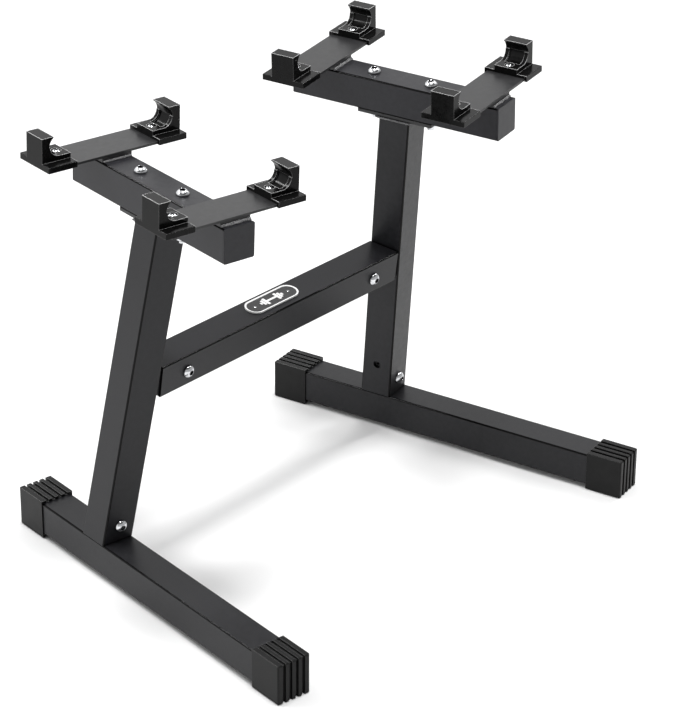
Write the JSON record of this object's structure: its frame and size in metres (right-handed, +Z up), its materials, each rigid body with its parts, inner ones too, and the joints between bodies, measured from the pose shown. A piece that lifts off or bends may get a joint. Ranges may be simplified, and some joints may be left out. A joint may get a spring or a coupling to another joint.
{
  "type": "adjustable dumbbell stand",
  "caption": "Splayed steel floor stand that holds a pair of adjustable dumbbells in clip-on cradles, with leaning posts, a crossbeam and ribbed end caps.",
  "frame": {"origin": "on the floor, midway between the two side frames and midway along their bases", "axes": "+X along the crossbeam towards the right side frame, -Y the open front where the user stands, +Z up"},
  "size_m": [0.6362, 0.4878, 0.5268],
  "materials": {
    "frame_steel": "satin black powder coat",
    "cap_plastic": "matte black moulded plastic",
    "clip_plastic": "semi-gloss black nylon",
    "plated_steel": "bright zinc plate",
    "nut_steel": "plain zinc",
    "black_steel": "black oxide",
    "badge_metal": "satin black plate with a white rim"
  },
  "bodies": {
    "root": {"badge_plate": "badge_metal", "badge_rivets": "plated_steel", "crossbeam": "frame_steel", "crossbeam_bolts": "plated_steel", "crossbeam_weld_nuts": "nut_steel", "left_back_cross_plate": "frame_steel", "left_back_end_cap": "cap_plastic", "left_back_inner_clip": "clip_plastic", "left_back_outer_clip": "clip_plastic", "left_base_stub": "frame_steel", "left_base_tube": "frame_steel", "left_clip_nuts": "plated_steel", "left_clip_screws": "plated_steel", "left_cross_plate_risers": "frame_steel", "left_crossbeam_stub": "frame_steel", "left_frame_welds": "frame_steel", "left_front_cross_plate": "frame_steel", "left_front_end_cap": "cap_plastic", "left_front_inner_clip": "clip_plastic", "left_front_outer_clip": "clip_plastic", "left_head_bolts": "plated_steel", "left_head_end_plates": "frame_steel", "left_head_nuts": "plated_steel", "left_head_tube": "frame_steel", "left_mount_plate": "frame_steel", "left_post": "frame_steel", "lock_nuts": "nut_steel", "lock_screws": "black_steel", "post_bolts": "plated_steel", "post_weld_nuts": "nut_steel", "right_back_cross_plate": "frame_steel", "right_back_end_cap": "cap_plastic", "right_back_inner_clip": "clip_plastic", "right_back_outer_clip": "clip_plastic", "right_base_stub": "frame_steel", "right_base_tube": "frame_steel", "right_clip_nuts": "plated_steel", "right_clip_screws": "plated_steel", "right_cross_plate_risers": "frame_steel", "right_crossbeam_stub": "frame_steel", "right_frame_welds": "frame_steel", "right_front_cross_plate": "frame_steel", "right_front_end_cap": "cap_plastic", "right_front_inner_clip": "clip_plastic", "right_front_outer_clip": "clip_plastic", "right_head_bolts": "plated_steel", "right_head_end_plates": "frame_steel", "right_head_nuts": "plated_steel", "right_head_tube": "frame_steel", "right_mount_plate": "frame_steel", "right_post": "frame_steel"}
  },
  "joints": []
}
